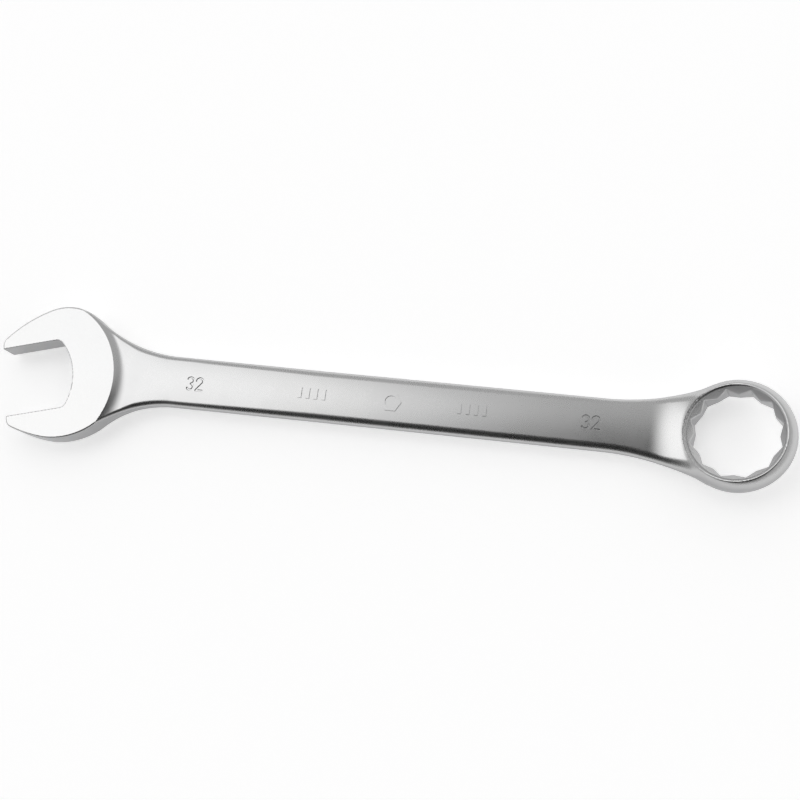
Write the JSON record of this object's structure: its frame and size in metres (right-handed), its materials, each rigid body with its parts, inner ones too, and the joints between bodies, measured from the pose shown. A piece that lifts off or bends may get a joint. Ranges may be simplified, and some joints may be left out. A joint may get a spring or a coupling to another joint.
{
  "type": "combination wrench",
  "caption": "Long flat hand wrench with an angled open jaw at one end and a tilted twelve-point ring at the other.",
  "frame": {"origin": "centre of the nut that the open jaw holds, half way between the jaw's two ground faces", "axes": "+X runs along the shank from the open end to the ring, +Y across the shank, +Z out of the face that the ring rises toward"},
  "size_m": [0.3526, 0.0622, 0.025],
  "materials": {
    "satin_chrome": "satin chrome plate on forged chrome-vanadium steel, fine matt grain, jaw faces smoother"
  },
  "bodies": {
    "root": {"open_end_head": "satin_chrome", "shank": "satin_chrome", "ring_end_head": "satin_chrome"}
  },
  "joints": []
}
